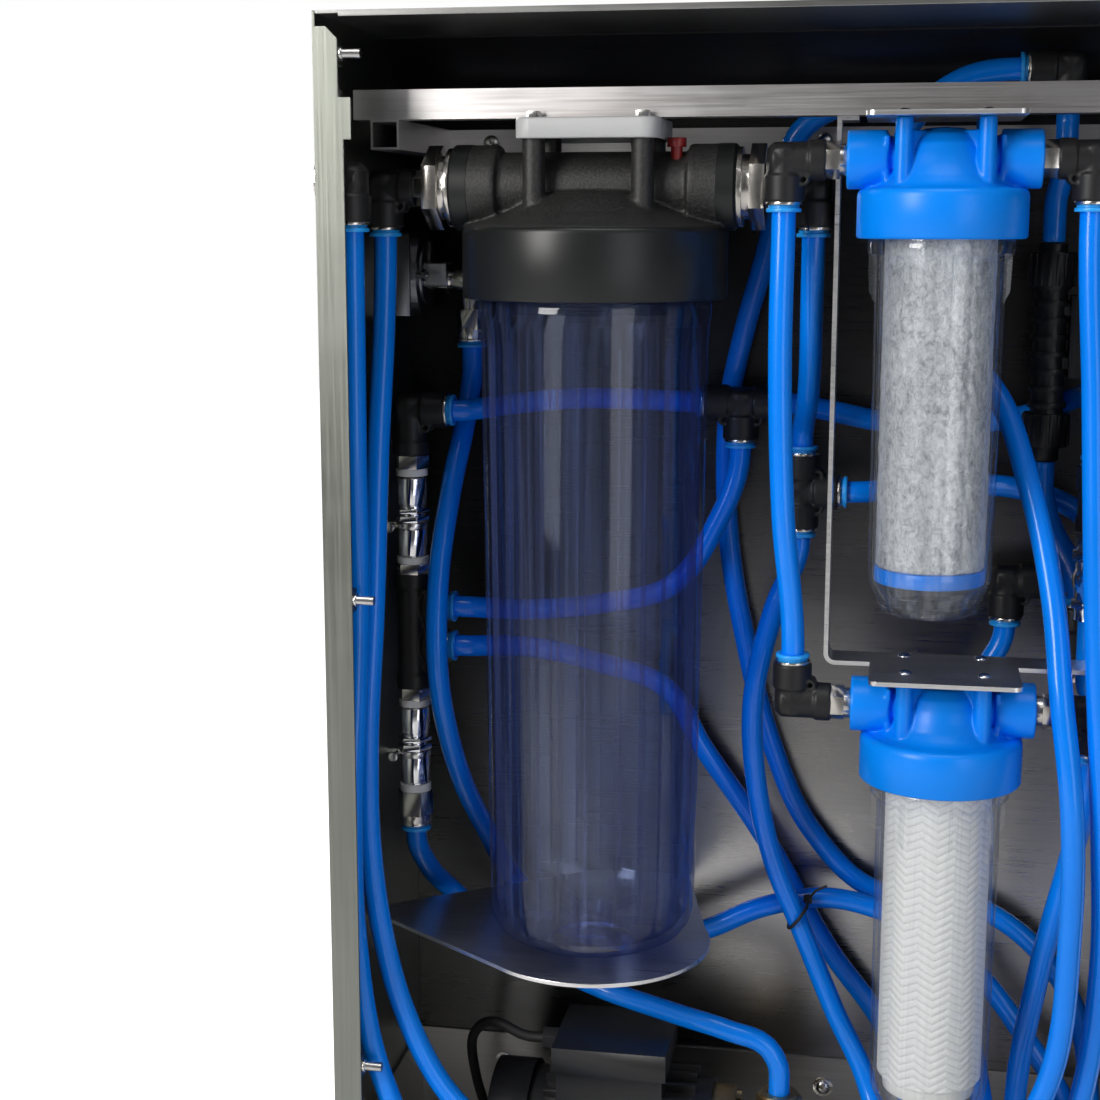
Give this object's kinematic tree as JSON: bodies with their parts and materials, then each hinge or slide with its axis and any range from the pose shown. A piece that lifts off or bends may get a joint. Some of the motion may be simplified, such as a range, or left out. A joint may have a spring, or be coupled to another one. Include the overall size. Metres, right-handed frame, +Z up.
{
  "type": "reverse osmosis unit",
  "caption": "Wall-mounted open-front reverse osmosis unit: stainless cabinet with one large and two slim clear-sump filters, blue push-in tubing, pump and membrane vessels.",
  "frame": {"origin": "centre of the four wall bolt holes, on the rear face of the back panel", "axes": "+X to the right seen from the front, +Y towards the wall, +Z up"},
  "size_m": [0.764, 0.2408, 0.9635],
  "materials": {
    "cabinet_steel": "brushed stainless sheet and tube",
    "dark_steel": "dark satin sheet",
    "bright_steel": "turned and pressed stainless",
    "bracket_grey": "grey pressed bracket",
    "black_plastic": "textured black",
    "tinted_clear": "clear plastic with a blue violet tint",
    "clear": "clear plastic",
    "seal_rubber": "black rubber",
    "red_plastic": "red",
    "nickel": "nickel plated brass",
    "blue_cap": "azure blue moulding",
    "carbon_felt": "fibrous grey white",
    "blue_end": "azure blue",
    "white_yarn": "white wound yarn",
    "white_plastic": "white",
    "blue_collar": "light blue",
    "blue_tube": "azure blue polyurethane",
    "gauge_grey": "dark grey",
    "black_paint": "black",
    "brass": "cast brass",
    "box_grey": "grey",
    "cable_black": "black"
  },
  "bodies": {
    "root": {"back_panel": "cabinet_steel", "left_side_panel": "cabinet_steel", "right_side_panel": "cabinet_steel", "roof_panel": "cabinet_steel", "roof_baffle": "dark_steel", "floor_tray": "cabinet_steel", "cover_pins": "bright_steel", "support_frame": "cabinet_steel", "filter_shelf": "cabinet_steel", "large_filter_bracket": "bracket_grey", "upper_filter_plate": "cabinet_steel", "lower_filter_hanger": "cabinet_steel", "screws_and_bolts": "bright_steel", "large_filter_cap": "black_plastic", "upper_filter_cap": "blue_cap", "lower_filter_cap": "blue_cap", "nickel_fittings": "nickel", "elbow_fittings": "black_plastic", "tee_fittings": "black_plastic", "feed_tubes": "blue_tube", "gauge_line": "blue_tube", "pump_lines": "blue_tube", "header_tubes": "blue_tube", "filter_link_tubes": "blue_tube", "reject_tubes": "blue_tube", "product_tubes": "blue_tube", "mixer_hoses": "blue_tube", "gauge_case": "gauge_grey", "gauge_dial": "white_plastic", "gauge_lens": "clear", "check_valves": "nickel", "pipe_clips": "bright_steel", "inline_mixer": "black_plastic", "regulator_body": "nickel", "motor_housing": "black_paint", "pump_head": "brass", "membrane_vessels": "white_plastic", "membrane_elements": "white_plastic", "solenoid_manifold": "brass", "control_box": "box_grey", "power_cable": "cable_black"},
    "large_oring": {"large_filter_oring": "seal_rubber"},
    "large_sump": {"large_filter_sump": "tinted_clear"},
    "upper_oring": {"upper_filter_oring": "seal_rubber"},
    "upper_sump": {"upper_filter_sump": "clear", "carbon_cartridge": "carbon_felt", "upper_end_caps": "blue_end"},
    "lower_oring": {"lower_filter_oring": "seal_rubber"},
    "lower_sump": {"lower_filter_sump": "clear", "wound_cartridge": "white_yarn", "lower_end_caps": "white_plastic"},
    "relief_button": {"relief_button": "red_plastic"},
    "gauge_needle": {"gauge_needle": "black_paint"},
    "regulator_knob": {"regulator_knob": "blue_cap"},
    "rotor": {"motor_rotor": "bright_steel"},
    "rocker": {"rocker_switch": "red_plastic"},
    "collars_down": {"collars_down": "blue_collar"},
    "collars_up": {"collars_up": "blue_collar"},
    "collars_right": {"collars_right": "blue_collar"},
    "collars_left": {"collars_left": "blue_collar"}
  },
  "joints": [
    {"name": "large_sump_drop", "type": "slide", "parent": "root", "child": "large_oring", "axis": [0, 0, -1], "range_m": [0, 0.0035], "stiffness_N_per_m": 20000},
    {"name": "large_sump_turn", "type": "hinge", "parent": "large_oring", "child": "large_sump", "pos_m": [-0.208, -0.148, 0.3], "axis": [0, 0, -1], "range_deg": [0, 360]},
    {"name": "upper_sump_drop", "type": "slide", "parent": "root", "child": "upper_oring", "axis": [0, 0, -1], "range_m": [0, 0.012], "stiffness_N_per_m": 8000},
    {"name": "upper_sump_turn", "type": "hinge", "parent": "upper_oring", "child": "upper_sump", "pos_m": [0.026, -0.183, 0.34], "axis": [0, 0, -1], "range_deg": [0, 1080]},
    {"name": "lower_sump_drop", "type": "slide", "parent": "root", "child": "lower_oring", "axis": [0, 0, -1], "range_m": [0, 0.012], "stiffness_N_per_m": 8000},
    {"name": "lower_sump_turn", "type": "hinge", "parent": "lower_oring", "child": "lower_sump", "pos_m": [0.038, -0.17, -0.02], "axis": [0, 0, -1], "range_deg": [0, 1080]},
    {"name": "relief_press", "type": "slide", "parent": "root", "child": "relief_button", "axis": [0, 0, -1], "range_m": [0, 0.003], "stiffness_N_per_m": 300},
    {"name": "gauge_needle_swing", "type": "hinge", "parent": "root", "child": "gauge_needle", "pos_m": [-0.38, -0.049, 0.306], "axis": [1, 0, 0], "range_deg": [0, 270]},
    {"name": "regulator_knob_turn", "type": "hinge", "parent": "root", "child": "regulator_knob", "pos_m": [0.139, -0.112, 0.098], "axis": [0, -1, 0], "range_deg": [0, 720]},
    {"name": "rotor_spin", "type": "hinge", "parent": "root", "child": "rotor", "pos_m": [-0.2, -0.112, -0.356], "axis": [1, 0, 0], "continuous": true},
    {"name": "rocker_tilt", "type": "hinge", "parent": "root", "child": "rocker", "pos_m": [0.347, -0.229, 0.033], "axis": [1, 0, 0], "range_deg": [0, 22]},
    {"name": "collars_down_press", "type": "slide", "parent": "root", "child": "collars_down", "axis": [0, 0, 1], "range_m": [0, 0.0015]},
    {"name": "collars_up_press", "type": "slide", "parent": "root", "child": "collars_up", "axis": [0, 0, -1], "range_m": [0, 0.0015]},
    {"name": "collars_right_press", "type": "slide", "parent": "root", "child": "collars_right", "axis": [-1, 0, 0], "range_m": [0, 0.0015]},
    {"name": "collars_left_press", "type": "slide", "parent": "root", "child": "collars_left", "axis": [1, 0, 0], "range_m": [0, 0.0015]}
  ],
  "couplings": [
    {"joint": "large_sump_drop", "follows": "large_sump_turn", "m_per_rad": 0.000557},
    {"joint": "upper_sump_drop", "follows": "upper_sump_turn", "m_per_rad": 0.0006366},
    {"joint": "lower_sump_drop", "follows": "lower_sump_turn", "m_per_rad": 0.0006366}
  ]
}
